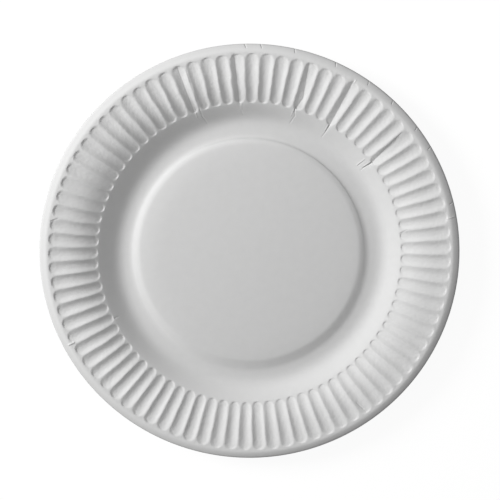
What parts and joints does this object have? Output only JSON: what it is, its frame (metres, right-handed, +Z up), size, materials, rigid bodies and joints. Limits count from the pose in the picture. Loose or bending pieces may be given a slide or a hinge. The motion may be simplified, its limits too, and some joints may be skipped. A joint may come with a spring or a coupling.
{
  "type": "paper plate",
  "caption": "Round plate pressed from one sheet of white paperboard, with a slightly raised middle, a foot ring, a sloping fluted rim and a turned-down lip",
  "frame": {"origin": "centre of the plate, on the plane that the foot ring stands on", "axes": "+Z up out of the eating side, along the plate's axis; +X and +Y along the table"},
  "size_m": [0.23, 0.23, 0.0146],
  "materials": {
    "paperboard": "uncoated, white, matt"
  },
  "bodies": {
    "root": {"plate": "paperboard"}
  },
  "joints": []
}
